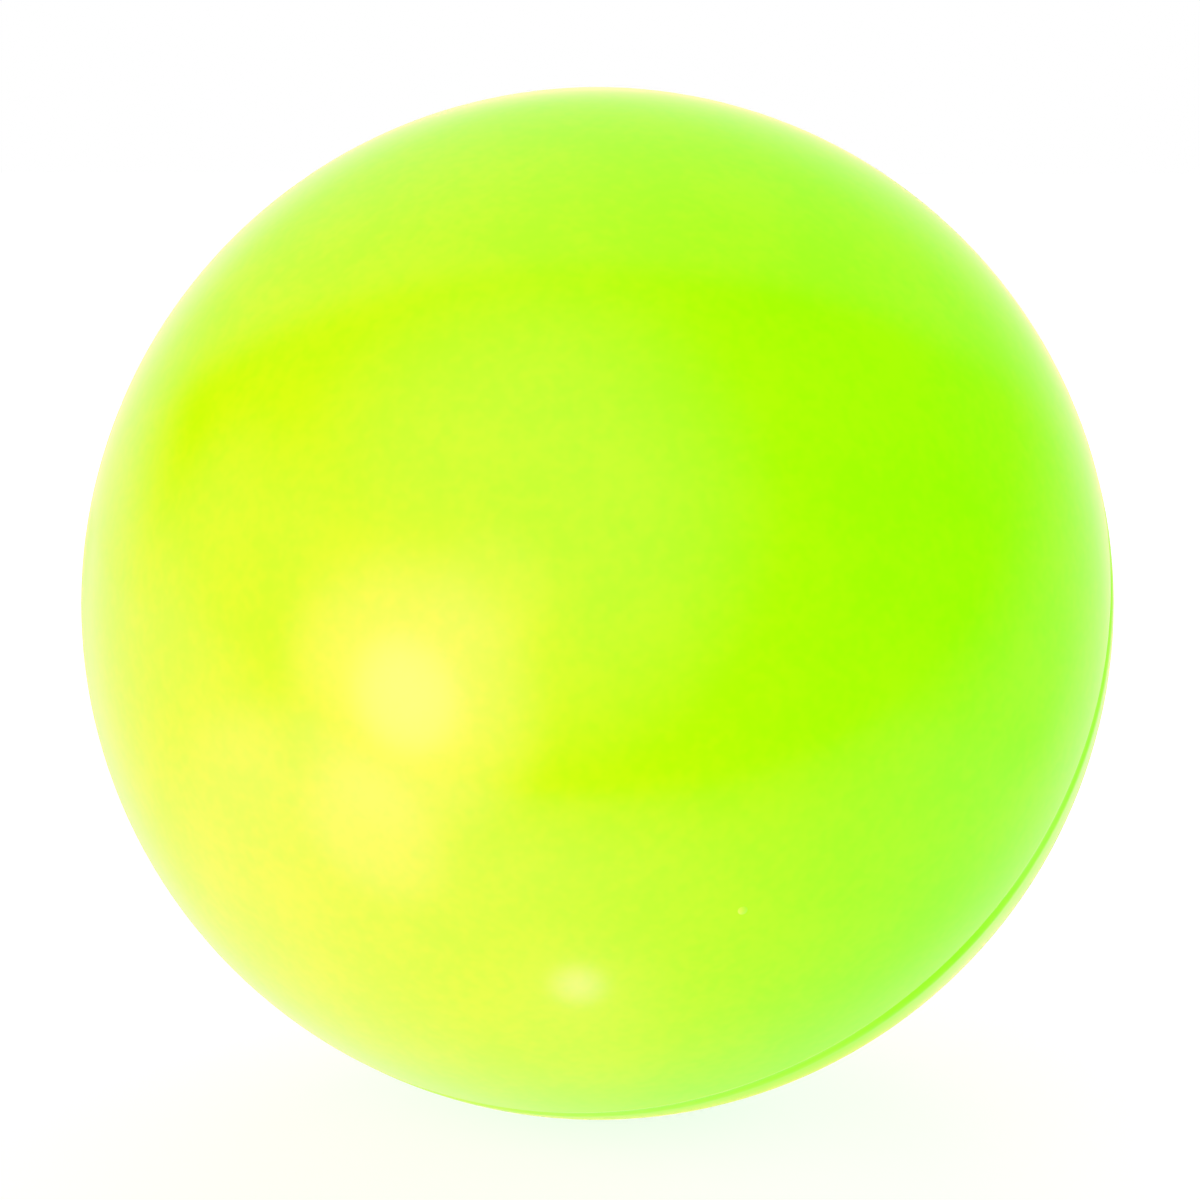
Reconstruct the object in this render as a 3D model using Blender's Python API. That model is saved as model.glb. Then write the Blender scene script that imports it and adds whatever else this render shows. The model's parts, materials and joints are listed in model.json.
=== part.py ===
"""Street hockey ball: a hollow ball of soft PVC, moulded as two half-shells.

The half-shells meet in a stepped joint: the front one carries a lip, the rear one the
socket that takes it. One weld bead lies in a groove round the outside of the seam, a
second is squeezed out on the inside, and a slender plug closes the vent hole. Both shells
are eased towards the groove, so that the seam is a shallow valley round the ball.

Metres, +Z up, origin at the ball's centre. The moulding axis, through the poles of both
half-shells, points to the front (-Y) and leans up from the level.
"""

import math

import bmesh
import bpy

# Ball
BALL_DIAMETER = 0.070
WALL = 0.0055
MOULD_LEAN = math.radians(25)

# Stepped joint at the seam
LIP_HEIGHT = 0.0030
LIP_CHAMFER = 0.0004
JOINT_CLEARANCE = 0.0003

# Weld bead in the outer groove, with a hollow top between the shells' eased edges
GROOVE_WIDTH = 0.0015
GROOVE_DEPTH = 0.0012
EDGE_EASE = 0.00035
EDGE_DROP = 0.0001
BEAD_HOLLOW = 0.00025
BEAD_CLEARANCE = 0.0002

# Weld bead on the inside of the joint
INNER_BEAD_WIDTH = 0.0024
INNER_BEAD_HEIGHT = 0.0009

# Tapered vent plug, placed by its angle from the front pole and its turn about the moulding axis
PLUG_DIAMETER = 0.0006
PLUG_TIP_DIAMETER = 0.0005
PLUG_PROUD = 0.00007
PLUG_TAIL = 0.0005
PLUG_CLEARANCE = 0.0002
PLUG_POLE_ANGLE = math.radians(56.75)
PLUG_TURN = math.radians(-56)

# Facets
RING_STEPS = 60
OUTER_ARC_STEPS = 14
HOLLOW_ARC_STEPS = 11
BEAD_STEPS = 6
PLUG_RING_STEPS = 16
DOME_STEPS = 3
SHARP_ANGLE = math.radians(35)
MERGE_DISTANCE = 1e-6

# Radii and depths that follow from the sizes above
BALL_RADIUS = BALL_DIAMETER / 2
HOLLOW_RADIUS = BALL_RADIUS - WALL
GROOVE_FLOOR_RADIUS = BALL_RADIUS - GROOVE_DEPTH
# The lip and the socket's land share the wall below the groove evenly.
LIP_RADIUS = (HOLLOW_RADIUS + GROOVE_FLOOR_RADIUS - JOINT_CLEARANCE) / 2
SOCKET_RADIUS = LIP_RADIUS + JOINT_CLEARANCE
SOCKET_DEPTH = LIP_HEIGHT + JOINT_CLEARANCE
SEAM_FACE = JOINT_CLEARANCE / 2
PLUG_TIP = HOLLOW_RADIUS - PLUG_TAIL

# Colours are linear; the whole ball is one fluorescent lime compound.
LIME = (0.44, 0.975, 0.002)
DEEP_LIME = (0.40, 0.97, 0.002)
PALE_LIME = (0.55, 0.975, 0.04)
MOULDED_ROUGHNESS = 0.15
TRIMMED_ROUGHNESS = 0.2


def clear_scene():
    """Takes every object out of the scene."""
    for thing in list(bpy.data.objects):
        bpy.data.objects.remove(thing, do_unlink=True)


def soft_pvc(name, colour, roughness):
    """A plain PVC material of one colour."""
    material = bpy.data.materials.new(name)
    material.use_nodes = True
    shader = material.node_tree.nodes["Principled BSDF"]
    shader.inputs["Base Color"].default_value = (*colour, 1)
    shader.inputs["Roughness"].default_value = roughness
    shader.inputs["Metallic"].default_value = 0
    return material


def mould_axis():
    """An empty at the ball's centre, with its own Z along the moulding axis to the front pole."""
    axis = bpy.data.objects.new("mould_axis", None)
    axis.rotation_euler = (math.pi / 2 - MOULD_LEAN, 0, 0)
    bpy.context.scene.collection.objects.link(axis)
    return axis


def polar_angle(height, radius):
    """The angle from the front pole at which a sphere of this radius has this height."""
    return math.acos(height / radius)


def arc(radius, start, end, steps):
    """Points (radius from the axis, height) along a sphere, from one polar angle to another."""
    angles = [start + (end - start) * step / steps for step in range(steps + 1)]
    return [(radius * math.sin(angle), radius * math.cos(angle)) for angle in angles]


def across(steps):
    """Even shares from -1 to 1."""
    return [2 * step / steps - 1 for step in range(steps + 1)]


def turned(name, profile, ring_steps, parent, material=None, closed=False):
    """An object made by spinning a profile of (radius, height) points about its own Z axis."""
    shape = bmesh.new()
    points = [shape.verts.new((radius, 0, height)) for radius, height in profile]
    following = points[1:] + points[:1] if closed else points[1:]
    edges = [shape.edges.new(pair) for pair in zip(points, following)]
    bmesh.ops.spin(
        shape,
        geom=points + edges,
        cent=(0, 0, 0),
        axis=(0, 0, 1),
        angle=math.tau,
        steps=ring_steps,
        use_merge=True,
    )
    bmesh.ops.remove_doubles(shape, verts=shape.verts, dist=MERGE_DISTANCE)
    bmesh.ops.recalc_face_normals(shape, faces=shape.faces)
    mesh = bpy.data.meshes.new(name)
    shape.to_mesh(mesh)
    shape.free()
    mesh.shade_smooth()
    mesh.set_sharp_from_angle(angle=SHARP_ANGLE)
    if material:
        mesh.materials.append(material)
    piece = bpy.data.objects.new(name, mesh)
    piece.parent = parent
    bpy.context.scene.collection.objects.link(piece)
    return piece


def eased_radius(height):
    """The distance from the moulding axis at which a shell's eased edge or the bead's edge lies."""
    return math.sqrt(BALL_RADIUS**2 - height**2) - EDGE_DROP


def front_half_shell(axis, material):
    """The half-shell with the lip, from its outer pole round the joint to its inner pole."""
    edge = GROOVE_WIDTH / 2
    profile = arc(BALL_RADIUS, 0, polar_angle(edge + EDGE_EASE, BALL_RADIUS), OUTER_ARC_STEPS)
    profile += [
        (eased_radius(edge), edge),
        (GROOVE_FLOOR_RADIUS, edge),
        (GROOVE_FLOOR_RADIUS, SEAM_FACE),
        (LIP_RADIUS, SEAM_FACE),
        (LIP_RADIUS, LIP_CHAMFER - LIP_HEIGHT),
        (LIP_RADIUS - LIP_CHAMFER, -LIP_HEIGHT),
    ]
    lip_end = polar_angle(-LIP_HEIGHT, HOLLOW_RADIUS)
    profile += arc(HOLLOW_RADIUS, lip_end, 0, HOLLOW_ARC_STEPS)
    return turned("front_half_shell", profile, RING_STEPS, axis, material)


def rear_half_shell(axis, material):
    """The half-shell with the socket, from its outer pole round the joint to its inner pole."""
    edge = -GROOVE_WIDTH / 2
    profile = arc(BALL_RADIUS, math.pi, polar_angle(edge - EDGE_EASE, BALL_RADIUS), OUTER_ARC_STEPS)
    profile += [
        (eased_radius(edge), edge),
        (GROOVE_FLOOR_RADIUS, edge),
        (GROOVE_FLOOR_RADIUS, -SEAM_FACE),
        (SOCKET_RADIUS, -SEAM_FACE),
        (SOCKET_RADIUS, -SOCKET_DEPTH),
    ]
    shoulder = polar_angle(-SOCKET_DEPTH, HOLLOW_RADIUS)
    profile += arc(HOLLOW_RADIUS, shoulder, math.pi, HOLLOW_ARC_STEPS)
    return turned("rear_half_shell", profile, RING_STEPS, axis, material)


def seam_weld_bead(axis, material):
    """The outer bead: level with the shells' eased edges, trimmed hollow between them."""
    half_width = GROOVE_WIDTH / 2 - BEAD_CLEARANCE
    rim = eased_radius(half_width)
    valley = BALL_RADIUS - BEAD_HOLLOW
    base = GROOVE_FLOOR_RADIUS + BEAD_CLEARANCE
    profile = [(base, half_width), (base, -half_width)]
    profile += [(valley + (rim - valley) * share**2, half_width * share) for share in across(BEAD_STEPS)]
    return turned("seam_weld_bead", profile, RING_STEPS, axis, material, closed=True)


def inner_weld_bead(axis, material):
    """The bead squeezed out of the joint's inner mouth, with its back along the hollow."""
    mouth = polar_angle(-(LIP_HEIGHT + SOCKET_DEPTH) / 2, HOLLOW_RADIUS)
    spread = INNER_BEAD_WIDTH / 2 / HOLLOW_RADIUS
    back = HOLLOW_RADIUS - BEAD_CLEARANCE
    profile = arc(back, mouth + spread, mouth - spread, BEAD_STEPS)
    for share in across(BEAD_STEPS)[1:-1]:
        crown = back - INNER_BEAD_HEIGHT * (1 - share**2)
        angle = mouth + spread * share
        profile.append((crown * math.sin(angle), crown * math.cos(angle)))
    return turned("inner_weld_bead", profile, RING_STEPS, axis, material, closed=True)


def plug_radius(height):
    """The plug's tapering radius at a distance from the ball's centre."""
    share = (height - PLUG_TIP) / (BALL_RADIUS - PLUG_TIP)
    return (PLUG_TIP_DIAMETER + (PLUG_DIAMETER - PLUG_TIP_DIAMETER) * share) / 2


def point_at_vent(piece):
    """Turns a piece so that its own Z runs out of the ball through the vent."""
    piece.rotation_euler = (0, PLUG_POLE_ANGLE, PLUG_TURN)


def vent_plug(axis, material):
    """The plug: a domed end just proud of the ball, and a taper down to its tip inside the hollow."""
    head = plug_radius(BALL_RADIUS)
    rim = math.sqrt(BALL_RADIUS**2 - head**2)
    crown = BALL_RADIUS + PLUG_PROUD - rim
    shares = [step / DOME_STEPS for step in range(DOME_STEPS + 1)]
    profile = [(head * share, rim + crown * (1 - share**2)) for share in shares]
    profile += [(plug_radius(PLUG_TIP), PLUG_TIP), (0, PLUG_TIP)]
    plug = turned("vent_plug", profile, PLUG_RING_STEPS, axis, material)
    point_at_vent(plug)
    return plug


def drill_vent(shell, axis):
    """Cuts the plug's hole, wider by its clearance, through the wall of a half-shell."""
    mouth = BALL_RADIUS + WALL / 2
    bottom = HOLLOW_RADIUS - WALL / 2
    profile = [
        (0, mouth),
        (plug_radius(mouth) + PLUG_CLEARANCE, mouth),
        (plug_radius(bottom) + PLUG_CLEARANCE, bottom),
        (0, bottom),
    ]
    drill = turned("vent_drill", profile, PLUG_RING_STEPS, axis)
    point_at_vent(drill)
    drill.hide_render = True
    drill.display_type = "WIRE"
    cut = shell.modifiers.new("vent_hole", "BOOLEAN")
    cut.operation = "DIFFERENCE"
    cut.solver = "EXACT"
    cut.object = drill


def main():
    """Builds the ball's pieces on the moulding axis."""
    clear_scene()
    axis = mould_axis()
    front = front_half_shell(axis, soft_pvc("front_shell_pvc", LIME, MOULDED_ROUGHNESS))
    drill_vent(front, axis)
    rear_half_shell(axis, soft_pvc("rear_shell_pvc", LIME, MOULDED_ROUGHNESS))
    seam_weld_bead(axis, soft_pvc("trimmed_weld_pvc", DEEP_LIME, TRIMMED_ROUGHNESS))
    inner_weld_bead(axis, soft_pvc("inner_weld_pvc", LIME, TRIMMED_ROUGHNESS))
    vent_plug(axis, soft_pvc("plug_pvc", PALE_LIME, MOULDED_ROUGHNESS))


main()
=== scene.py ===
"""Street hockey ball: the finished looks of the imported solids, on a white table.

The ball is moulded in soft lime PVC as two half-shells, which are welded at the seam, with
a small plug in the vent hole. Lengths are metres, +Z is up and the ball's centre is the
origin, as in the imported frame.
"""

from __future__ import annotations

import json
import logging
import math
from dataclasses import dataclass
from enum import Enum
from typing import Any, Callable, Iterable

import bmesh
import bpy
from mathutils import Euler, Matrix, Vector


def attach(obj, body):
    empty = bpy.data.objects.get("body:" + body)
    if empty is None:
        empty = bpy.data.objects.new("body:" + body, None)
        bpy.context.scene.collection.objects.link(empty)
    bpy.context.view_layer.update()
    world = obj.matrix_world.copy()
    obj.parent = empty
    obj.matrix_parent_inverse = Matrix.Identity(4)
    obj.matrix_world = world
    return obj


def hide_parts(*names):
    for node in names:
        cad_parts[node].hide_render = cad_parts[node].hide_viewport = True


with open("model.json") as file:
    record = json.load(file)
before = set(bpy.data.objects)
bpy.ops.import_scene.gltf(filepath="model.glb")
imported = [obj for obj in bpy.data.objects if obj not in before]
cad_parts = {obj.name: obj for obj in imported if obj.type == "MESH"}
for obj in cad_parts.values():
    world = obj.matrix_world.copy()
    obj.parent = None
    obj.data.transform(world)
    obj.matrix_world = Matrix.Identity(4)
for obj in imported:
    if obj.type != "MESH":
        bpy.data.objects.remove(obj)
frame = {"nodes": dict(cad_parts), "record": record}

LOG = logging.getLogger("street_hockey_ball")
BODY = "root"

# Distances within which a point counts as lying at a height, on a ring or on a cutting plane
NEAR = 1e-6
RING_NEAR = 20 * NEAR
CUT_NEAR = NEAR / 10

# Edges that bend by more than this stay sharp.
SHARP_ANGLE = math.radians(32)

PVC_IOR = 1.5

# Noise runs from 0 to 1 around this.
NOISE_MIDDLE = 0.5

Socket = bpy.types.NodeSocket
Colour = tuple[float, float, float]
WHITE: Colour = (1.0, 1.0, 1.0)


class Half(Enum):
    """The two half-shells, by the names of their nodes."""

    FRONT = "front_half_shell"
    REAR = "rear_half_shell"


# Shader maths


class Signal:
    """A socket that takes part in shader maths: each operator adds a Math node."""

    def __init__(self, graph: Graph, socket: Socket) -> None:
        """Wraps a socket of a graph."""
        self.graph = graph
        self.socket = socket

    def _math(self, operation: str, first: Any, second: Any = 0.0) -> Signal:
        """The number that a Math node makes of two numbers or signals."""
        return self.graph.signal("ShaderNodeMath", {"operation": operation}, {0: first, 1: second})

    def __add__(self, other: Any) -> Signal:
        """This plus a number or a signal."""
        return self._math("ADD", self, other)

    def __radd__(self, other: Any) -> Signal:
        """A number plus this."""
        return self._math("ADD", other, self)

    def __sub__(self, other: Any) -> Signal:
        """This minus a number or a signal."""
        return self._math("SUBTRACT", self, other)

    def __rsub__(self, other: Any) -> Signal:
        """A number minus this."""
        return self._math("SUBTRACT", other, self)

    def __mul__(self, other: Any) -> Signal:
        """This times a number or a signal."""
        return self._math("MULTIPLY", self, other)

    def __rmul__(self, other: Any) -> Signal:
        """A number times this."""
        return self._math("MULTIPLY", other, self)

    def __abs__(self) -> Signal:
        """This without its sign."""
        return self._math("ABSOLUTE", self)

    def rise(self, start: float, end: float, low: float = 0.0, high: float = 1.0) -> Signal:
        """A smooth step from low at start to high at end.

        Args:
            start: where the step leaves low.
            end: where it reaches high; it may lie below start.
            low: the result on the side of start.
            high: the result on the side of end.

        Returns:
            The stepped value.
        """
        if end < start:
            start, end, low, high = end, start, high, low
        sockets = {0: self, 1: start, 2: end, 3: low, 4: high}
        return self.graph.signal("ShaderNodeMapRange", {"interpolation_type": "SMOOTHSTEP"}, sockets)


class Graph:
    """A node tree of a material or the world, with one method that makes its nodes."""

    def __init__(self, tree: bpy.types.NodeTree) -> None:
        """Empties the tree."""
        self.tree = tree
        tree.nodes.clear()

    def node(
        self,
        kind: str,
        settings: dict[str, Any] | None = None,
        sockets: dict[str | int, Any] | None = None,
    ) -> bpy.types.Node:
        """Makes a node.

        Args:
            kind: the node's type.
            settings: properties of the node, which are set first.
            sockets: values, signals or sockets for its inputs, by name or place.

        Returns:
            The node.
        """
        made = self.tree.nodes.new(kind)
        for name, value in (settings or {}).items():
            setattr(made, name, value)
        for key, value in (sockets or {}).items():
            given = value.socket if isinstance(value, Signal) else value
            if isinstance(given, Socket):
                self.tree.links.new(given, made.inputs[key])
            else:
                made.inputs[key].default_value = given
        return made

    def signal(
        self,
        kind: str,
        settings: dict[str, Any] | None = None,
        sockets: dict[str | int, Any] | None = None,
        output: str | int = 0,
    ) -> Signal:
        """Makes a node as node() does, and returns one of its outputs for shader maths."""
        return Signal(self, self.node(kind, settings, sockets).outputs[output])

    def _vector_math(self, operation: str, vector: Socket, fixed: Iterable[float]) -> Signal:
        """The number that a Vector Math node makes of a vector and a fixed one."""
        sockets = {0: vector, 1: tuple(fixed)}
        return self.signal("ShaderNodeVectorMath", {"operation": operation}, sockets, "Value")

    def along(self, vector: Socket, direction: Iterable[float]) -> Signal:
        """How far a vector reaches along a direction of unit length."""
        return self._vector_math("DOT_PRODUCT", vector, direction)

    def apart(self, vector: Socket, point: Iterable[float]) -> Signal:
        """How far a point lies from a vector's end."""
        return self._vector_math("DISTANCE", vector, point)

    def noise(self, vector: Any, size: float, detail: float = 2.0, roughness: float = 0.5) -> Signal:
        """Noise whose patches are about size across, from 0 to 1 around a half."""
        return self.signal(
            "ShaderNodeTexNoise",
            {"noise_dimensions": "3D", "normalize": True},
            {"Vector": vector, "Scale": 1 / size, "Detail": detail, "Roughness": roughness},
        )

    def blend(self, share: Any, first: Any, second: Any) -> Socket:
        """A colour between two.

        Args:
            share: the second colour's share.
            first: the first colour, or its socket.
            second: the second colour, or its socket.

        Returns:
            The blended colour's socket.
        """
        # A Mix node has its colours at these places, after those for numbers and vectors.
        mix = self.node(
            "ShaderNodeMix",
            {"data_type": "RGBA", "blend_type": "MIX", "clamp_factor": True},
            {0: share, 6: first, 7: second},
        )
        return mix.outputs[2]

    def bump(self, height: Signal, distance: float, under: Socket | None = None) -> Socket:
        """A normal with a relief on it.

        Args:
            height: the relief's height, from 0 to 1.
            distance: how far the relief rises from a height of 0 to 1.
            under: the normal that the relief lies on, if it isn't the mesh's own.

        Returns:
            The normal's socket.
        """
        sockets = {"Strength": 1.0, "Distance": distance, "Height": height}
        if under is not None:
            sockets["Normal"] = under
        return self.node("ShaderNodeBump", {}, sockets).outputs["Normal"]

    def end(self, shader: bpy.types.Node) -> None:
        """Makes a shader node the surface of the material."""
        self.node("ShaderNodeOutputMaterial", {}, {"Surface": shader.outputs[0]})


def blank_material(name: str) -> tuple[bpy.types.Material, Graph]:
    """Makes a material with an empty node tree.

    Args:
        name: the material's name.

    Returns:
        The material, and the graph of its nodes.
    """
    made = bpy.data.materials.new(name)
    made.use_nodes = True
    return made, Graph(made.node_tree)


def opaque(colour: Colour) -> tuple[float, float, float, float]:
    """A colour with full alpha, as node sockets take it."""
    return (*colour, 1.0)


# Sizes of the ball


def mould_axis(lean: float) -> Vector:
    """The direction of the front half-shell's pole, at an angle up from the front."""
    return Vector((0.0, -math.cos(lean), math.sin(lean)))


def mould_tilt(lean: float) -> float:
    """The turn about X that brings the Z axis onto the moulding axis."""
    return math.pi / 2 - lean


def within(turned: float, middle: float, reach: float) -> float:
    """How far a turn lies inside a stretch of the seam.

    Args:
        turned: the turn about the moulding axis.
        middle: the turn at the middle of the stretch.
        reach: the angle from the middle to either end.

    Returns:
        1 in the middle, falling softly to 0 at the ends and past them.
    """
    apart = abs(math.remainder(turned - middle, math.tau)) / reach
    return (1 + math.cos(math.pi * min(apart, 1.0))) / 2


@dataclass(frozen=True)
class BallSizes:
    """The ball's sizes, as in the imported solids, with the fine forms of the seam's edges."""

    # Half-shells and their stepped joint
    radius: float
    wall: float = 0.0055
    lean: float = math.radians(25)
    lip_height: float = 0.0030
    lip_chamfer: float = 0.0004
    joint_clearance: float = 0.0003
    # Groove for the outer bead, and the eased edges on either side of it
    groove_width: float = 0.0011
    groove_depth: float = 0.0012
    edge_ease: float = 0.00055
    edge_slope: float = math.radians(20)
    # Stretches where the seam's valley is deeper or shallower
    deep_turn: float = math.radians(-43)
    deep_reach: float = math.radians(16)
    deep_gain: float = 0.9
    shallow_turn: float = math.radians(-78)
    shallow_reach: float = math.radians(24)
    shallow_loss: float = 0.5
    # Gap round the outer bead and the plug, too fine to be seen
    fit: float = 0.000002

    @property
    def hollow_radius(self) -> float:
        """The radius of the hollow."""
        return self.radius - self.wall

    @property
    def groove_floor(self) -> float:
        """The distance of the groove's floor from the moulding axis."""
        return self.radius - self.groove_depth

    @property
    def groove_half(self) -> float:
        """Half of the groove's width."""
        return self.groove_width / 2

    @property
    def lip_radius(self) -> float:
        """The lip's outer radius: lip and socket share the wall below the groove."""
        return (self.hollow_radius + self.groove_floor - self.joint_clearance) / 2

    @property
    def socket_radius(self) -> float:
        """The socket's inner radius."""
        return self.lip_radius + self.joint_clearance

    @property
    def socket_depth(self) -> float:
        """The socket's depth behind the seam."""
        return self.lip_height + self.joint_clearance

    @property
    def edge_start(self) -> float:
        """The height above the seam at which the ball's round skin turns into the eased edge."""
        return self.groove_half + self.edge_ease

    @property
    def valley_limit(self) -> float:
        """The depth below the skin past which a point lies in the groove and not in the valley."""
        return self.groove_depth / 2

    def ring_radius(self, height: float) -> float:
        """The radius of the ball's skin about the moulding axis at a height above the seam."""
        return math.sqrt(self.radius**2 - height**2)

    def depth_share(self, turned: float) -> float:
        """How deep the seam's valley is.

        Args:
            turned: the turn about the moulding axis.

        Returns:
            The depth there, as a share of the plain depth.
        """
        deep = self.deep_gain * within(turned, self.deep_turn, self.deep_reach)
        shallow = self.shallow_loss * within(turned, self.shallow_turn, self.shallow_reach)
        return 1 + deep - shallow

    def eased_edge(self, steps: int) -> list[Ring]:
        """The rings of the rounded edge between the skin and the groove.

        Args:
            steps: the number of rings.

        Returns:
            The rings from the skin down to the groove's wall.
        """
        # The edge is an arc that leaves the skin level and meets the groove at its slope.
        bend = self.edge_ease / math.sin(self.edge_slope)
        start = self.ring_radius(self.edge_start)
        rings = []
        for step in range(1, steps + 1):
            turn = self.edge_slope * step / steps
            drop = bend * (1 - math.cos(turn))
            rings.append(Ring(start - drop, self.edge_start - bend * math.sin(turn)))
        return rings


@dataclass(frozen=True)
class Ring:
    """A ring of vertices about the moulding axis."""

    radius: float
    height: float


# Modelling bench


class Bench:
    """One mesh in edit mode, worked on with Blender's operators and nothing else selected."""

    def __init__(self, name: str, add: Callable[..., Any], **settings: Any) -> None:
        """Adds a primitive and opens it in edit mode.

        Args:
            name: the piece's name.
            add: the operator that adds the primitive.
            settings: the operator's settings.
        """
        bpy.ops.object.select_all(action="DESELECT")
        add(**settings)
        self.piece = bpy.context.active_object
        self.piece.name = name
        self.piece.data.name = name
        bpy.ops.object.transform_apply(location=True, rotation=True, scale=True)
        bpy.ops.object.mode_set(mode="EDIT")
        bpy.ops.mesh.select_mode(type="VERT")

    def pick(self, test: Callable[[Vector], bool]) -> None:
        """Selects vertices, with the edges and faces among them.

        Args:
            test: says of a vertex's place whether the vertex is selected.
        """
        bpy.ops.mesh.select_all(action="DESELECT")
        shape = bmesh.from_edit_mesh(self.piece.data)
        for vertex in shape.verts:
            vertex.select = test(vertex.co)
        if not any(vertex.select for vertex in shape.verts):
            raise RuntimeError(f"{self.piece.name}: nothing lies where the bench looks")
        shape.select_flush_mode()
        bmesh.update_edit_mesh(self.piece.data)

    def pick_ring(self, ring: Ring) -> None:
        """Selects a ring of vertices about the Z axis."""
        self.pick(
            lambda place: abs(place.z - ring.height) < NEAR
            and abs(place.xy.length - ring.radius) < RING_NEAR
        )

    def move_ring(self, start: Ring, end: Ring) -> None:
        """Moves the selected ring.

        Args:
            start: where the ring is.
            end: where it goes.
        """
        growth = end.radius / start.radius
        bpy.ops.transform.resize(value=(growth, growth, 1), center_override=(0, 0, 0))
        bpy.ops.transform.translate(value=(0, 0, end.height - start.height))

    def draw_out(self, start: Ring, rings: Iterable[Ring]) -> None:
        """Extrudes an open rim or an end face from ring to ring.

        Args:
            start: the ring of the rim or the face.
            rings: the rings that it is drawn through.
        """
        self.pick_ring(start)
        for ring in rings:
            bpy.ops.mesh.extrude_region()
            self.move_ring(start, ring)
            start = ring

    def add_hollow(self, radius: float, floor: float, segments: int, rings: int) -> None:
        """Adds the dome of a hollow, which faces inwards, down to a height.

        Args:
            radius: the hollow's radius.
            floor: the height of the dome's open rim.
            segments: the number of facets round the dome.
            rings: the number of rings from pole to pole.
        """
        bpy.ops.mesh.select_all(action="DESELECT")
        bpy.ops.mesh.primitive_uv_sphere_add(
            segments=segments,
            ring_count=rings,
            radius=radius,
            calc_uvs=False,
        )
        bpy.ops.mesh.flip_normals()
        self.cut_below(floor)

    def cut_below(self, floor: float) -> None:
        """Cuts away what lies below a height, of what is selected."""
        bpy.ops.mesh.bisect(
            plane_co=(0, 0, floor),
            plane_no=(0, 0, 1),
            clear_inner=True,
            threshold=CUT_NEAR,
        )

    def cut_upright_edges(self, rise: float, cuts: int) -> None:
        """Subdivides those of the selected edges that rise by more than a height.

        Args:
            rise: the height.
            cuts: the number of cuts across each edge.
        """
        bpy.ops.mesh.select_mode(type="EDGE")
        shape = bmesh.from_edit_mesh(self.piece.data)
        for edge in shape.edges:
            bottom, top = edge.verts
            edge.select = edge.select and abs(top.co.z - bottom.co.z) > rise
        bmesh.update_edit_mesh(self.piece.data)
        bpy.ops.mesh.subdivide(number_cuts=cuts)
        bpy.ops.mesh.select_mode(type="VERT")

    def bridge_open_rims(self) -> None:
        """Closes the mesh between its two open rims."""
        bpy.ops.mesh.select_all(action="DESELECT")
        bpy.ops.mesh.select_mode(type="EDGE")
        bpy.ops.mesh.select_non_manifold(
            extend=False,
            use_wire=False,
            use_boundary=True,
            use_multi_face=False,
            use_non_contiguous=False,
            use_verts=False,
        )
        bpy.ops.mesh.bridge_edge_loops()
        bpy.ops.mesh.select_mode(type="VERT")

    def leave(self) -> bpy.types.Object:
        """Turns the faces outwards and leaves edit mode.

        Returns:
            The piece.
        """
        bpy.ops.mesh.select_all(action="SELECT")
        bpy.ops.mesh.normals_make_consistent(inside=False)
        bpy.ops.object.mode_set(mode="OBJECT")
        return self.piece


def only(piece: bpy.types.Object) -> None:
    """Selects one object and makes it active.

    Args:
        piece: the object.
    """
    bpy.ops.object.select_all(action="DESELECT")
    piece.select_set(True)
    bpy.context.view_layer.objects.active = piece


def turn(piece: bpy.types.Object, angles: tuple[float, float, float]) -> None:
    """Turns an object about the ball's centre and puts the turn into its mesh.

    Args:
        piece: the object.
        angles: the turns about X, Y and Z, in that order.
    """
    only(piece)
    piece.rotation_euler = Euler(angles)
    bpy.ops.object.transform_apply(location=True, rotation=True, scale=True)


def sink_valley(piece: bpy.types.Object, sizes: BallSizes) -> None:
    """Sinks the seam's valley where the trimming tool bit deeper, and raises it where it only skimmed.

    Args:
        piece: a half-shell or the bead, in place.
        sizes: the ball's sizes.
    """
    axis = mould_axis(sizes.lean)
    side = Vector((1.0, 0.0, 0.0))
    rise = axis.cross(side)
    for vertex in piece.data.vertices:
        height = vertex.co.dot(axis)
        if abs(height) > sizes.edge_start:
            continue
        out = vertex.co - axis * height
        depth = sizes.ring_radius(height) - out.length
        if depth < sizes.valley_limit:
            turned = math.atan2(out.dot(rise), out.dot(side))
            vertex.co -= out.normalized() * depth * (sizes.depth_share(turned) - 1)


def smooth(piece: bpy.types.Object) -> None:
    """Shades a piece smooth, apart from its sharp edges."""
    only(piece)
    bpy.ops.object.shade_smooth_by_angle(angle=SHARP_ANGLE)


# Finishes of the ball


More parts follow.
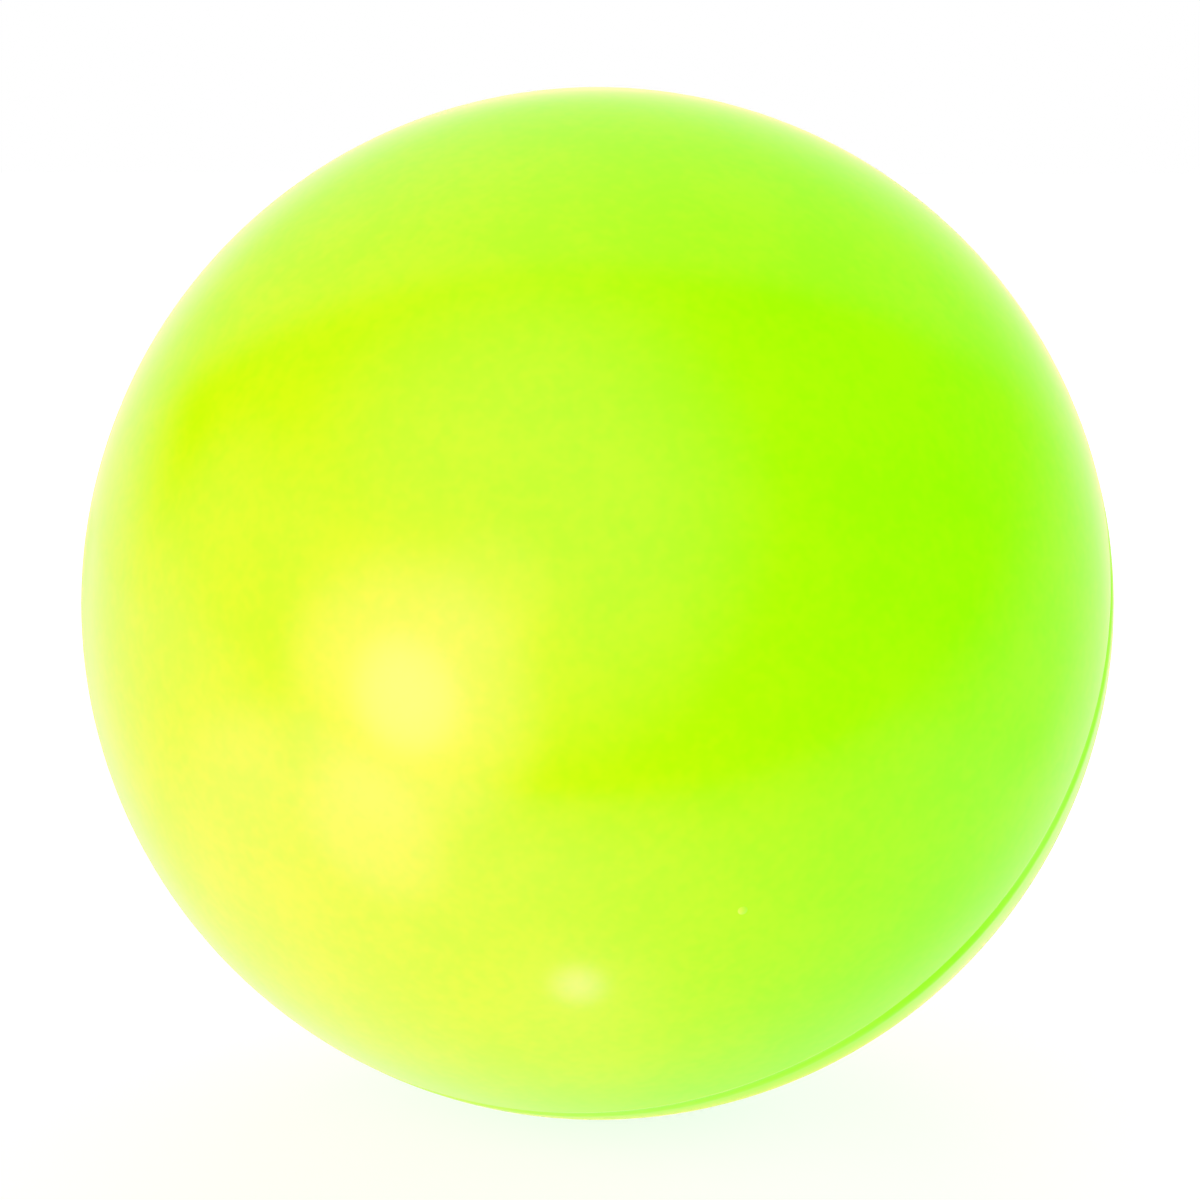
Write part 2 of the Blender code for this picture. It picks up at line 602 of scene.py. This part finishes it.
@dataclass(frozen=True)
class MouldedPvc:
    """Soft PVC as it leaves a polished mould: glossy, with a faint orange peel and clouded pigment."""

    name: str
    colour: Colour
    cloud_colour: Colour
    lean: float
    # Clouds and specks in the pigment
    cloud_size: float = 0.0065
    cloud_detail: float = 3.0
    cloud_roughness: float = 0.6
    cloud_spread: float = 0.18
    speck_size: float = 0.0007
    speck_detail: float = 1.0
    speck_share: float = 0.4
    # Gloss, orange peel and grain of the mould's face
    roughness: float = 0.13
    roughness_spread: float = 0.05
    patch_size: float = 0.00325
    peel_size: float = 0.0011
    peel_detail: float = 1.5
    peel_height: float = 0.000004
    grain_size: float = 0.00025
    grain_detail: float = 1.0
    grain_height: float = 0.0000004
    # Duller band along the seam, where the flash was buffed off
    buffed_reach: float = 0.0030
    buffed_full: float = 0.0010
    buffed_roughness: float = 0.03
    # Thin bloom of plasticiser, which shows at grazing angles
    bloom: float = 0.82
    bloom_roughness: float = 0.20
    bloom_tint: Colour = (1.0, 0.85, 0.25)

    def material(self) -> bpy.types.Material:
        """Builds the material.

        Returns:
            The material, on Object coordinates.
        """
        made, graph = blank_material(self.name)
        place = graph.node("ShaderNodeTexCoord").outputs["Object"]
        from_seam = abs(graph.along(place, mould_axis(self.lean)))
        buffed = from_seam.rise(self.buffed_reach, self.buffed_full)
        cloud = graph.noise(place, self.cloud_size, self.cloud_detail, self.cloud_roughness)
        speck = graph.noise(place, self.speck_size, self.speck_detail)
        share = cloud * (1 - self.speck_share) + speck * self.speck_share
        share = share.rise(NOISE_MIDDLE - self.cloud_spread, NOISE_MIDDLE + self.cloud_spread)
        colour = graph.blend(share, opaque(self.colour), opaque(self.cloud_colour))
        patches = graph.noise(place, self.patch_size)
        rough = self.roughness + (patches - NOISE_MIDDLE) * self.roughness_spread
        rough = rough + buffed * self.buffed_roughness
        peel = graph.noise(place, self.peel_size, self.peel_detail)
        grain = graph.noise(place, self.grain_size, self.grain_detail)
        skin = graph.bump(grain, self.grain_height, graph.bump(peel, self.peel_height))
        shader = graph.node(
            "ShaderNodeBsdfPrincipled",
            {},
            {
                "Base Color": colour,
                "Roughness": rough,
                "IOR": PVC_IOR,
                "Sheen Weight": self.bloom,
                "Sheen Roughness": self.bloom_roughness,
                "Sheen Tint": opaque(self.bloom_tint),
                "Normal": skin,
            },
        )
        graph.end(shader)
        return made


@dataclass(frozen=True)
class TrimmedWeld:
    """Weld material after the trimming tool: deeper in colour, with fine lines along the seam."""

    name: str
    colour: Colour
    worn_colour: Colour
    lean: float
    line_size: float = 0.00022
    line_stretch: float = 30.0
    line_height: float = 0.000004
    line_share: float = 0.5
    patch_size: float = 0.0030
    wear_spread: float = 0.2
    roughness: float = 0.14
    roughness_spread: float = 0.08

    def material(self) -> bpy.types.Material:
        """Builds the material.

        Returns:
            The material, on Object coordinates turned to the moulding axis.
        """
        made, graph = blank_material(self.name)
        place = graph.node("ShaderNodeTexCoord").outputs["Object"]
        stretched = graph.node(
            "ShaderNodeMapping",
            {"vector_type": "TEXTURE"},
            {
                "Vector": place,
                "Rotation": (mould_tilt(self.lean), 0.0, 0.0),
                "Scale": (self.line_stretch, self.line_stretch, 1.0),
            },
        ).outputs["Vector"]
        lines = graph.noise(stretched, self.line_size)
        patches = graph.noise(place, self.patch_size)
        share = lines * self.line_share + patches * (1 - self.line_share)
        share = share.rise(NOISE_MIDDLE - self.wear_spread, NOISE_MIDDLE + self.wear_spread)
        colour = graph.blend(share, opaque(self.colour), opaque(self.worn_colour))
        rough = self.roughness + (patches - NOISE_MIDDLE) * self.roughness_spread
        shader = graph.node(
            "ShaderNodeBsdfPrincipled",
            {},
            {
                "Base Color": colour,
                "Roughness": rough,
                "IOR": PVC_IOR,
                "Normal": graph.bump(lines, self.line_height),
            },
        )
        graph.end(shader)
        return made


LIME: Colour = (0.412, 0.965, 0.001)
LIME_CLOUD: Colour = (0.478, 0.985, 0.002)
DEEP_LIME: Colour = (0.43, 0.98, 0.001)
DEEP_LIME_WORN: Colour = (0.46, 0.985, 0.002)
# The vent plug's lime is paler than the skin's as a painted highlight, so that its nib shows as a small
# bright spot.
PLUG_LIME_PAINTED_HIGHLIGHT: Colour = (0.53, 0.975, 0.03)
PLUG_CLOUD_PAINTED_HIGHLIGHT: Colour = (0.57, 0.98, 0.05)


# Pieces of the ball


@dataclass
class Piece:
    """A finished piece, and the node whose place it takes in the frame."""

    node: str
    made: bpy.types.Object

    def settle(self, material: bpy.types.Material) -> None:
        """Dresses the piece, ties it to the ball's body and hides the imported node whose place it
        takes.

        Args:
            material: the piece's finish.
        """
        self.made.data.materials.clear()
        self.made.data.materials.append(material)
        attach(self.made, BODY)
        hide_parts(self.node)
        LOG.info("%s: %d faces", self.node, len(self.made.data.polygons))


@dataclass
class HalfShell:
    """A moulded half-shell: round skin, eased edge at the seam, half of the joint and the hollow."""

    half: Half
    sizes: BallSizes
    segments: int = 192
    rings: int = 96
    hollow_rings: int = 48
    edge_steps: int = 5

    def joint(self) -> list[Ring]:
        """The rings from the groove's wall round the joint to the hollow's mouth.

        Returns:
            The rings, with heights measured towards this half's own pole.
        """
        sizes = self.sizes
        face = sizes.joint_clearance / 2
        rings = [Ring(sizes.groove_floor, sizes.groove_half), Ring(sizes.groove_floor, face)]
        if self.half is Half.REAR:
            return rings + [
                Ring(sizes.socket_radius, face),
                Ring(sizes.socket_radius, sizes.socket_depth),
            ]
        return rings + [
            Ring(sizes.lip_radius, face),
            Ring(sizes.lip_radius, sizes.lip_chamfer - sizes.lip_height),
            Ring(sizes.lip_radius - sizes.lip_chamfer, -sizes.lip_height),
        ]

    def build(self) -> bpy.types.Object:
        """Models the half-shell with its pole along Z, then turns it onto the moulding axis.

        Returns:
            The half-shell in place.
        """
        sizes = self.sizes
        bench = Bench(
            self.half.value + "_skin",
            bpy.ops.mesh.primitive_uv_sphere_add,
            segments=self.segments,
            ring_count=self.rings,
            radius=sizes.radius,
            calc_uvs=False,
        )
        bench.cut_below(sizes.edge_start)
        rim = Ring(sizes.ring_radius(sizes.edge_start), sizes.edge_start)
        joint = self.joint()
        bench.draw_out(rim, sizes.eased_edge(self.edge_steps) + joint)
        bench.add_hollow(sizes.hollow_radius, joint[-1].height, self.segments, self.hollow_rings)
        bench.bridge_open_rims()
        piece = bench.leave()
        over = 0.0 if self.half is Half.FRONT else math.pi
        turn(piece, (mould_tilt(sizes.lean) + over, 0.0, 0.0))
        sink_valley(piece, sizes)
        return piece


@dataclass
class SeamBead:
    """The weld bead that fills the groove, trimmed to a shallow hollow between the eased edges."""

    sizes: BallSizes
    segments: int = 192
    cuts: int = 11

    def build(self) -> bpy.types.Object:
        """Models the bead as a ring and hollows its outer face.

        Returns:
            The bead in place.
        """
        sizes = self.sizes
        half_width = sizes.groove_half - sizes.fit
        edge = sizes.eased_edge(1)[-1].radius
        base = sizes.groove_floor + sizes.fit
        bench = Bench(
            "seam_weld_bead_ring",
            bpy.ops.mesh.primitive_cylinder_add,
            vertices=self.segments,
            radius=base,
            depth=2 * half_width,
            end_fill_type="NOTHING",
        )
        bpy.ops.mesh.select_all(action="SELECT")
        bpy.ops.mesh.extrude_region()
        bpy.ops.transform.resize(value=(edge / base, edge / base, 1), center_override=(0, 0, 0))
        middle = (edge + base) / 2
        bench.pick(lambda place: place.xy.length > middle)
        bench.cut_upright_edges(half_width, self.cuts)
        # The hollow is a parabola that meets the eased edges at their own slope.
        sag = half_width * math.tan(sizes.edge_slope) / 2
        for cut in range(1, self.cuts + 1):
            height = half_width * (2 * cut / (self.cuts + 1) - 1)
            depth = sag * (1 - (height / half_width) ** 2)
            bench.pick_ring(Ring(edge, height))
            bench.move_ring(Ring(edge, height), Ring(edge - depth, height))
        piece = bench.leave()
        turn(piece, (mould_tilt(sizes.lean), 0.0, 0.0))
        sink_valley(piece, sizes)
        return piece


@dataclass
class VentPlug:
    """The tapered peg in the vent hole, with a domed end that stands just proud of the ball."""

    sizes: BallSizes
    head_radius: float = 0.0003
    tip_radius: float = 0.00025
    tail: float = 0.0005
    proud: float = 0.00007
    pole_angle: float = math.radians(56.75)
    turn_angle: float = math.radians(-56)
    sides: int = 48
    dome_steps: int = 6

    @property
    def shoulder(self) -> float:
        """The height at which the domed end starts, where the plug leaves the skin."""
        return self.sizes.ring_radius(self.head_radius)

    def aim(self, piece: bpy.types.Object) -> None:
        """Turns a piece from the Z axis to the vent's own line."""
        turn(piece, (0.0, self.pole_angle, self.turn_angle))
        turn(piece, (mould_tilt(self.sizes.lean), 0.0, 0.0))

    def peg(self, name: str, bottom: float, top: float, ease: float) -> Bench:
        """A tapered peg along Z, out of the ball's centre.

        Args:
            name: the peg's name.
            bottom: the height of its lower end.
            top: the height of its upper end.
            ease: how much wider it is than the plug.

        Returns:
            The bench with the peg on it.
        """
        tip = self.sizes.hollow_radius - self.tail
        taper = (self.head_radius - self.tip_radius) / (self.shoulder - tip)
        low = self.tip_radius + taper * (bottom - tip) + ease
        high = self.tip_radius + taper * (top - tip) + ease
        return Bench(
            name,
            bpy.ops.mesh.primitive_cone_add,
            vertices=self.sides,
            radius1=low,
            radius2=high,
            depth=top - bottom,
            location=(0, 0, (top + bottom) / 2),
        )

    def build(self) -> bpy.types.Object:
        """Models the plug and domes its outer end.

        Returns:
            The plug in place.
        """
        bench = self.peg("vent_plug_peg", self.sizes.hollow_radius - self.tail, self.shoulder, 0.0)
        crown = self.sizes.radius + self.proud - self.shoulder
        dome = []
        for step in range(1, self.dome_steps):
            share = math.cos(math.pi / 2 * step / self.dome_steps)
            dome.append(Ring(self.head_radius * share, self.shoulder + crown * (1 - share**2)))
        bench.draw_out(Ring(self.head_radius, self.shoulder), dome)
        piece = bench.leave()
        self.aim(piece)
        return piece

    def drill(self, shell: bpy.types.Object) -> None:
        """Cuts the plug's hole through a half-shell.

        Args:
            shell: the half-shell, in place.
        """
        # The drill runs past both faces of the wall.
        spare = self.sizes.wall / 2
        bottom = self.sizes.hollow_radius - spare
        bench = self.peg("vent_drill", bottom, self.sizes.radius + spare, self.sizes.fit)
        drill = bench.leave()
        self.aim(drill)
        only(shell)
        bpy.ops.object.modifier_add(type="BOOLEAN")
        cut = shell.modifiers[-1]
        cut.operation = "DIFFERENCE"
        cut.solver = "EXACT"
        cut.object = drill
        bpy.ops.object.modifier_apply(modifier=cut.name)
        bpy.data.objects.remove(drill, do_unlink=True)


@dataclass
class Ball:
    """The whole ball: both half-shells, the weld beads and the vent plug."""

    sizes: BallSizes

    def build(self) -> None:
        """Models every piece and dresses it."""
        lean = self.sizes.lean
        skin = MouldedPvc("moulded_lime_pvc", LIME, LIME_CLOUD, lean).material()
        weld = TrimmedWeld("trimmed_lime_weld", DEEP_LIME, DEEP_LIME_WORN, lean).material()
        # The plug's finish carries a painted highlight: its lime is paler than the skin's.
        plug_highlight_finish = MouldedPvc("plug_pvc_painted_highlight", PLUG_LIME_PAINTED_HIGHLIGHT, PLUG_CLOUD_PAINTED_HIGHLIGHT, lean).material()
        front = HalfShell(Half.FRONT, self.sizes).build()
        rear = HalfShell(Half.REAR, self.sizes).build()
        plug = VentPlug(self.sizes)
        plug.drill(front)
        self.add(Half.FRONT.value, front, skin)
        self.add(Half.REAR.value, rear, skin)
        self.add("seam_weld_bead", SeamBead(self.sizes).build(), weld)
        self.add("vent_plug", plug.build(), plug_highlight_finish)
        self.dress_inner_bead(weld)

    def add(self, node: str, made: bpy.types.Object, material: bpy.types.Material) -> None:
        """Shades a piece smooth and settles it in its node's place."""
        smooth(made)
        Piece(node, made).settle(material)

    def dress_inner_bead(self, material: bpy.types.Material) -> None:
        """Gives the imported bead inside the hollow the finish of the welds.

        Args:
            material: the welds' finish.
        """
        bead = frame["nodes"]["inner_weld_bead"]
        bead.data.materials.clear()
        bead.data.materials.append(material)
        LOG.info("inner_weld_bead: the packed solid, dressed")


# Studio


@dataclass(frozen=True)
class PhotoView:
    """The camera's place, as seen from the ball, and the ball's place in the picture."""

    radius: float
    azimuth: float = math.radians(15.07)
    elevation: float = math.radians(8.35)
    distance_in_radii: float = 6.0
    # The picture's width and the ball's outline in it, in pixels
    picture: float = 1200.0
    ball_x: float = 597.5
    ball_y: float = 603.4
    ball_radius: float = 516.5
    # The sensor's width in millimetres, and the nearest distance that the camera sees
    sensor: float = 36.0
    nearest: float = 0.005

    @property
    def front(self) -> Vector:
        """The level direction from the ball towards the camera."""
        return Vector((math.sin(self.azimuth), -math.cos(self.azimuth), 0.0))

    @property
    def right(self) -> Vector:
        """The level direction to the picture's right."""
        return Vector((math.cos(self.azimuth), math.sin(self.azimuth), 0.0))

    def place(self, right: float, front: float, up: float) -> Vector:
        """A point given by its distances from the ball's centre along the picture's own directions."""
        return self.right * right + self.front * front + Vector((0.0, 0.0, up))

    def towards(self, azimuth: float, elevation: float) -> Vector:
        """A direction from the ball.

        Args:
            azimuth: the angle from the camera's side, to the picture's right, in radians.
            elevation: the angle above the level, in radians.

        Returns:
            The direction, of unit length.
        """
        level = math.cos(elevation)
        return self.place(math.sin(azimuth) * level, math.cos(azimuth) * level, math.sin(elevation))

    def build(self) -> None:
        """Makes the camera and gives it to the scene."""
        lens = bpy.data.cameras.new("photo_camera")
        lens.sensor_width = self.sensor
        across = self.ball_radius / self.picture * self.sensor
        lens.lens = across / math.tan(math.asin(1 / self.distance_in_radii))
        lens.shift_x = (self.picture / 2 - self.ball_x) / self.picture
        lens.shift_y = (self.ball_y - self.picture / 2) / self.picture
        lens.clip_start = self.nearest
        camera = bpy.data.objects.new("photo_camera", lens)
        camera.location = self.towards(0.0, self.elevation) * self.radius * self.distance_in_radii
        camera.rotation_euler = (-camera.location).to_track_quat("-Z", "Y").to_euler()
        bpy.context.scene.collection.objects.link(camera)
        bpy.context.scene.camera = camera


@dataclass(frozen=True)
class FillLamp:
    """A soft lamp that lights the ball and doesn't show in it.

    Its direction is in degrees: from the camera's side to the picture's right, and up from the level.
    """

    name: str
    azimuth: float
    elevation: float
    colour: Colour
    radiance: float
    distance: float = 0.60
    size: float = 0.60

    def build(self, view: PhotoView) -> None:
        """Makes the lamp, facing the ball.

        Args:
            view: the camera's view, from which the lamp's direction is measured.
        """
        lamp = bpy.data.lights.new(self.name, "AREA")
        lamp.shape = "DISK"
        lamp.size = self.size
        lamp.color = self.colour
        # A disc of even radiance gives off pi times its area times that radiance.
        lamp.energy = self.radiance * math.pi * math.pi * (self.size / 2) ** 2
        lamp.cycles.use_multiple_importance_sampling = False
        stand = bpy.data.objects.new(self.name, lamp)
        away = view.towards(math.radians(self.azimuth), math.radians(self.elevation))
        stand.location = away * self.distance
        stand.rotation_euler = away.to_track_quat("Z", "Y").to_euler()
        stand.visible_camera = False
        stand.visible_glossy = False
        bpy.context.scene.collection.objects.link(stand)
        LOG.info("lamp: %s", self.name)


@dataclass(frozen=True)
class Table:
    """The white table: a floor that the camera sees, and the glowing sheet of painted light that the
    ball reflects.
    """

    radius: float
    # The floor that the camera sees
    seen_size: float = 20.0
    paper_level: float = 0.80
    paper_shade: float = 0.24
    paper_fade: float = 0.16
    # The sheet that the ball reflects: its edges, and how softly it fades towards them
    sheet_front: float = 0.125
    sheet_fade: float = 0.195
    sheet_edge: float = 0.074
    sheet_edge_fade: float = 0.010
    sheet_back: float = 0.60
    sheet_side: float = 0.50
    sheet_end: float = 0.100
    sheet_end_fade: float = 0.045
    drop: float = 0.0002
    # Its painted light, which falls off to one side
    dim_side: float = math.radians(120)
    bright_start: float = -0.055
    dim_start: float = 0.025
    bright_level: float = 1.05
    dim_level: float = 0.66
    # Painted on it: the ball's shadow, a pool of light under the key lamp, and a small glint
    shade_right: float = 0.006
    shade_front: float = -0.008
    shade_start: float = 0.010
    shade_end: float = 0.031
    shade_level: float = 0.05
    pool_right: float = -0.072
    pool_front: float = 0.100
    pool_size: float = 0.118
    pool_level: float = 5.4
    glint_right: float = -0.002
    glint_front: float = 0.0323
    glint_size: float = 0.0044
    glint_level: float = 6.5
    glint_halo_size: float = 0.013
    glint_halo_level: float = 0.8

    @property
    def sheet_height(self) -> float:
        """The height of the sheet, just under the floor that the camera sees."""
        return -self.radius - self.drop

    def build(self, view: PhotoView) -> None:
        """Makes both surfaces under the ball.

        Args:
            view: the camera's view, for the picture's directions.
        """
        seen = Bench("table_top", bpy.ops.mesh.primitive_plane_add, size=self.seen_size).leave()
        seen.location = (0.0, 0.0, -self.radius)
        seen.visible_diffuse = False
        seen.visible_glossy = False
        seen.visible_shadow = False
        seen.data.materials.append(self.seen_material())
        sheet = Bench("table_sheet", bpy.ops.mesh.primitive_plane_add, size=1.0).leave()
        middle = (self.sheet_front - self.sheet_back) / 2
        sheet.location = view.place(0.0, middle, self.sheet_height)
        sheet.rotation_euler = (0.0, 0.0, view.azimuth)
        sheet.scale = (2 * self.sheet_side, self.sheet_front + self.sheet_back, 1.0)
        sheet.visible_camera = False
        sheet.visible_shadow = False
        sheet.data.materials.append(self.sheet_material(view))

    def seen_material(self) -> bpy.types.Material:
        """Builds the white that the camera sees, which still takes the ball's soft shadow.

        Returns:
            The material.
        """
        made, graph = blank_material("table_white")
        made.cycles.emission_sampling = "NONE"
        camera = graph.signal("ShaderNodeLightPath", {}, {}, "Is Camera Ray")
        place = graph.node("ShaderNodeNewGeometry").outputs["Position"]
        far = graph.apart(place, (0.0, 0.0, -self.radius))
        level = far.rise(self.radius, self.paper_fade, self.paper_level, 1.0)
        lit = graph.node("ShaderNodeEmission", {}, {"Color": opaque(WHITE), "Strength": camera * level})
        shade = graph.node("ShaderNodeBsdfDiffuse", {}, {"Color": opaque((self.paper_shade,) * 3)})
        both = graph.node("ShaderNodeAddShader", {}, {0: lit.outputs[0], 1: shade.outputs[0]})
        graph.end(both)
        return made

    def sheet_material(self, view: PhotoView) -> bpy.types.Material:
        """Builds the glowing white sheet that the ball reflects, with a painted pool of light under the
        key lamp.

        Args:
            view: the camera's view, for the picture's directions.

        Returns:
            The material, which fades away towards the camera and to the dim side, except in
            the ball's painted shadow.
        """
        made, graph = blank_material("table_sheet_white")
        place = graph.node("ShaderNodeNewGeometry").outputs["Position"]
        to_dim_side = graph.along(place, view.towards(self.dim_side, 0.0))
        level = to_dim_side.rise(self.bright_start, self.dim_start, self.bright_level, self.dim_level)
        shade = view.place(self.shade_right, self.shade_front, self.sheet_height)
        pool = view.place(self.pool_right, self.pool_front, self.sheet_height)
        glint = view.place(self.glint_right, self.glint_front, self.sheet_height)
        # Painted shadow of the ball in the sheet's glow, darkest near the contact
        shading = graph.apart(place, shade).rise(self.shade_start, self.shade_end, self.shade_level, 1.0)
        level = level * shading
        # Painted pool of light and painted glint, added to the glow
        level = level + graph.apart(place, pool).rise(self.pool_size, 0.0) * self.pool_level
        from_glint = graph.apart(place, glint)
        level = level + from_glint.rise(self.glint_size, 0.0) * self.glint_level
        level = level + from_glint.rise(self.glint_halo_size, 0.0) * self.glint_halo_level
        to_front = graph.along(place, view.front)
        share = to_front.rise(self.sheet_front, self.sheet_front - self.sheet_fade)
        share = share * to_front.rise(self.sheet_edge + self.sheet_edge_fade, self.sheet_edge)
        share = share * to_dim_side.rise(self.sheet_end, self.sheet_end - self.sheet_end_fade)
        share = 1 - (1 - share) * shading
        lit = graph.node("ShaderNodeEmission", {}, {"Color": opaque(WHITE), "Strength": level})
        gone = graph.node("ShaderNodeBsdfTransparent")
        both = graph.node("ShaderNodeMixShader", {}, {0: share, 1: gone.outputs[0], 2: lit.outputs[0]})
        graph.end(both)
        return made


@dataclass(frozen=True)
class Glow:
    """A soft round light in the tent, brightest in its middle.

    Its direction and reach are in degrees, measured as those of the lamps.
    """

    name: str
    azimuth: float
    elevation: float
    reach: float
    level: float
    colour: Colour = WHITE
    gloss_only: bool = False

    def shader(self, graph: Graph, direction: Socket, view: PhotoView) -> Socket:
        """Adds the light to the world's nodes.

        Args:
            graph: the world's node tree.
            direction: the socket with the direction that is looked in.
            view: the camera's view, from which the light's own direction is measured.

        Returns:
            The light's shader socket.
        """
        middle = view.towards(math.radians(self.azimuth), math.radians(self.elevation))
        rim = math.cos(math.radians(self.reach))
        strength = graph.along(direction, middle).rise(rim, 1.0) * self.level
        if self.gloss_only:
            strength = strength * graph.signal("ShaderNodeLightPath", {}, {}, "Is Glossy Ray")
        lit = graph.node(
            "ShaderNodeBackground",
            {"label": self.name},
            {"Color": opaque(self.colour), "Strength": strength},
        )
        return lit.outputs[0]


@dataclass(frozen=True)
class Tent:
    """The light tent: white behind and above the ball, dark towards the camera, with its soft lights."""

    # The white roof behind and above, and the white sweep below it, both dimmer to the right
    roof_elevation: float = math.radians(45)
    roof_reach: float = math.radians(55.5)
    roof_full: float = math.radians(44)
    roof_rim: float = 0.67
    roof_left: float = 0.77
    roof_right: float = 0.37
    sweep_elevation: float = math.radians(-58)
    sweep_full: float = math.radians(69)
    sweep_reach: float = math.radians(94.5)
    sweep_left: float = 0.93
    sweep_right: float = 0.42
    side: float = 0.65
    lights: tuple[Glow, ...] = (
        Glow("key_core", -41.0, -12.0, 15.0, 3.0, (1.0, 0.97, 0.90)),
        Glow("key_halo", -41.0, -12.0, 33.0, 2.4, (1.0, 0.98, 0.94)),
        Glow("key_side", -23.0, 10.0, 16.0, 0.5),
        Glow("key_warmth", -36.0, -6.0, 37.0, 4.2, (1.0, 0.5, 0.02), gloss_only=True),
        Glow("key_foot", -59.0, -39.0, 18.0, 4.6, (1.0, 0.65, 0.40), gloss_only=True),
        Glow("window", -20.0, 25.0, 60.0, 0.83),
        Glow("ceiling", -70.0, 60.0, 55.0, 0.09),
        Glow("left_panel", -84.0, 1.0, 34.0, 0.62),
        Glow("right_panel", 118.0, 16.0, 30.0, 0.05),
        Glow("back_panel", 150.0, -20.0, 35.0, 0.30),
        Glow("back_wall_right", 160.0, 14.0, 30.0, 0.20),
        Glow("back_wall_left", -165.0, 12.0, 22.0, 0.17),
    )

    def build(self, view: PhotoView) -> None:
        """Makes the world: white for the camera, the tent for everything else.

        Args:
            view: the camera's view, for the picture's directions.
        """
        world = bpy.data.worlds.new("light_tent")
        bpy.context.scene.world = world
        world.use_nodes = True
        graph = Graph(world.node_tree)
        direction = graph.node("ShaderNodeTexCoord").outputs["Generated"]
        across = graph.along(direction, view.right)
        roof_level = across.rise(-self.side, self.side, self.roof_left, self.roof_right)
        sweep_level = across.rise(-self.side, self.side, self.sweep_left, self.sweep_right)
        to_roof = graph.along(direction, view.towards(math.pi, self.roof_elevation))
        to_sweep = graph.along(direction, view.towards(math.pi, self.sweep_elevation))
        roof = to_roof.rise(math.cos(self.roof_reach), math.cos(self.roof_full))
        roof = roof * to_roof.rise(math.cos(self.roof_full), 1.0, self.roof_rim, 1.0)
        sweep = to_sweep.rise(math.cos(self.sweep_reach), math.cos(self.sweep_full))
        level = roof * roof_level + (1 - roof) * sweep * sweep_level
        walls = graph.node("ShaderNodeBackground", {}, {"Color": opaque(WHITE), "Strength": level})
        light = walls.outputs[0]
        for glow in self.lights:
            added = {0: light, 1: glow.shader(graph, direction, view)}
            light = graph.node("ShaderNodeAddShader", {}, added).outputs[0]
        white = graph.node("ShaderNodeBackground", {}, {"Color": opaque(WHITE), "Strength": 1.0})
        camera = graph.signal("ShaderNodeLightPath", {}, {}, "Is Camera Ray")
        both = graph.node("ShaderNodeMixShader", {}, {0: camera, 1: light, 2: white.outputs[0]})
        graph.node("ShaderNodeOutputWorld", {}, {"Surface": both.outputs[0]})


@dataclass
class Studio:
    """The camera, the table, the tent and the fill lamps."""

    view: PhotoView
    fills: tuple[FillLamp, ...] = (
        FillLamp("front_fill", 0.0, 10.0, (0.65, 1.0, 0.65), 0.92),
        FillLamp("key_fill", -40.0, 15.0, (0.98, 1.0, 0.85), 2.42),
        FillLamp("low_right_fill", 40.0, -45.0, (0.035, 1.0, 0.035), 1.80),
        FillLamp("right_fill", 75.0, 15.0, (0.06, 1.0, 0.06), 0.50),
        FillLamp("side_right_fill", 95.0, 0.0, (0.77, 1.0, 0.77), 1.55),
        FillLamp("back_right_fill", 120.0, 10.0, (0.94, 1.0, 0.90), 3.45),
        FillLamp("back_top_fill", 180.0, 60.0, (0.98, 1.0, 0.90), 2.10),
        FillLamp("back_fill", 180.0, 10.0, (1.0, 1.0, 0.90), 1.60),
        FillLamp("seam_fill", 146.0, -21.0, (0.60, 1.0, 0.60), 8.0, size=0.25),
    )

    def build(self) -> None:
        """Builds the studio and sets the plain colour view."""
        self.view.build()
        Table(self.view.radius).build(self.view)
        Tent().build(self.view)
        for lamp in self.fills:
            lamp.build(self.view)
        bpy.context.scene.view_settings.view_transform = "Standard"


def ball_radius() -> float:
    """The ball's radius: how far its resting point lies below its centre."""
    resting = next(mount for mount in frame["record"]["mounts"] if mount["name"] == "ground_contact")
    return -resting["pos_m"][2]


def main() -> None:
    """Builds the ball and the studio round it."""
    logging.basicConfig(level=logging.INFO, format="%(message)s")
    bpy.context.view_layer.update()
    radius = ball_radius()
    Ball(BallSizes(radius)).build()
    Studio(PhotoView(radius)).build()


if __name__ == "__main__":
    main()
